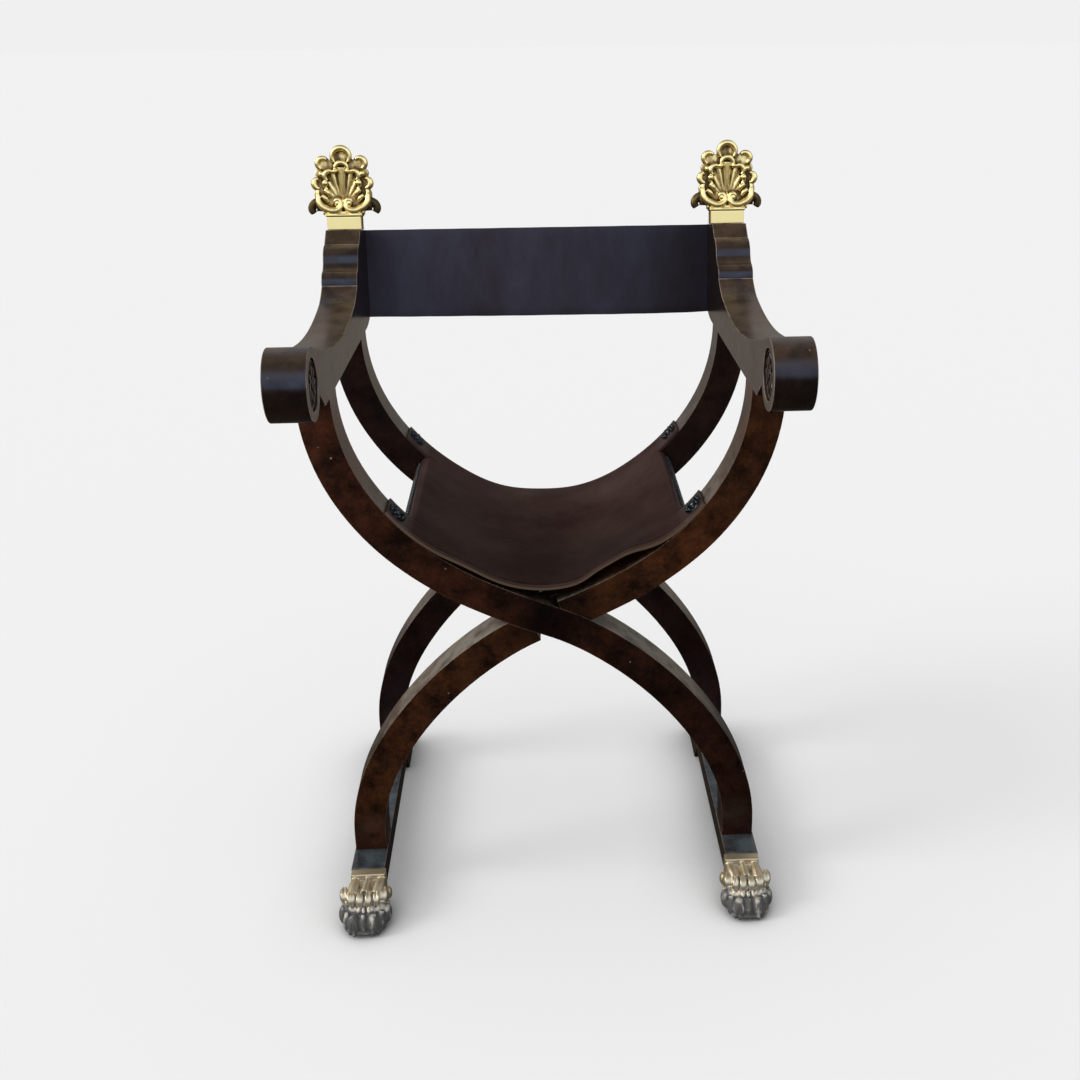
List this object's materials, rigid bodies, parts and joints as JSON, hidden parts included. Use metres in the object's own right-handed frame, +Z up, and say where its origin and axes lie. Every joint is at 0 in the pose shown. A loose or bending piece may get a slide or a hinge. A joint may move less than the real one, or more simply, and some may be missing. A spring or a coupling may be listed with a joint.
{
  "type": "savonarola chair",
  "caption": "Folding armchair with S-curved crossing legs on runners with paw feet, scrolled arms, brass shell finials, leather sling seat and leather back strap.",
  "frame": {"origin": "on the floor under the middle of the chair", "axes": "+X to the sitter's left seen from behind the chair's front, -Y the front, +Z up"},
  "size_m": [0.6052, 0.557, 0.8991],
  "materials": {
    "dark_wood": "dark stained, waxed and polished",
    "brass": "cast, rubbed bright on the high parts with dark hollows",
    "dark_bronze": "blackened nail heads and bosses",
    "seat_leather": "smooth dark brown saddle leather with a soft sheen",
    "back_leather": "smooth near-black leather with a soft sheen",
    "stud_steel": "plain steel"
  },
  "bodies": {
    "left_arm_half": {"front_member_a": "dark_wood", "rear_member_a": "dark_wood", "left_arm": "dark_wood", "left_rosette": "dark_wood", "left_finial": "brass", "left_finial_stud": "stud_steel", "left_seat_rail": "dark_wood", "left_rail_nails": "dark_bronze", "left_ear_bosses": "dark_bronze", "left_back_nails": "dark_bronze", "right_runner": "dark_wood", "right_paw": "brass", "centre_stretcher": "dark_wood", "leather_seat": "seat_leather", "leather_back": "back_leather"},
    "right_arm_half": {"front_member_b": "dark_wood", "rear_member_b": "dark_wood", "right_arm": "dark_wood", "right_rosette": "dark_wood", "right_finial": "brass", "right_finial_stud": "stud_steel", "right_seat_rail": "dark_wood", "right_rail_nails": "dark_bronze", "right_ear_bosses": "dark_bronze", "right_back_nails": "dark_bronze", "left_runner": "dark_wood", "left_paw": "brass"}
  },
  "joints": [
    {"name": "fold", "type": "hinge", "parent": "left_arm_half", "child": "right_arm_half", "pos_m": [0, 0, 0.3752], "axis": [0, -1, 0], "range_deg": [0, 45], "deforming": ["leather_seat", "leather_back"]}
  ]
}
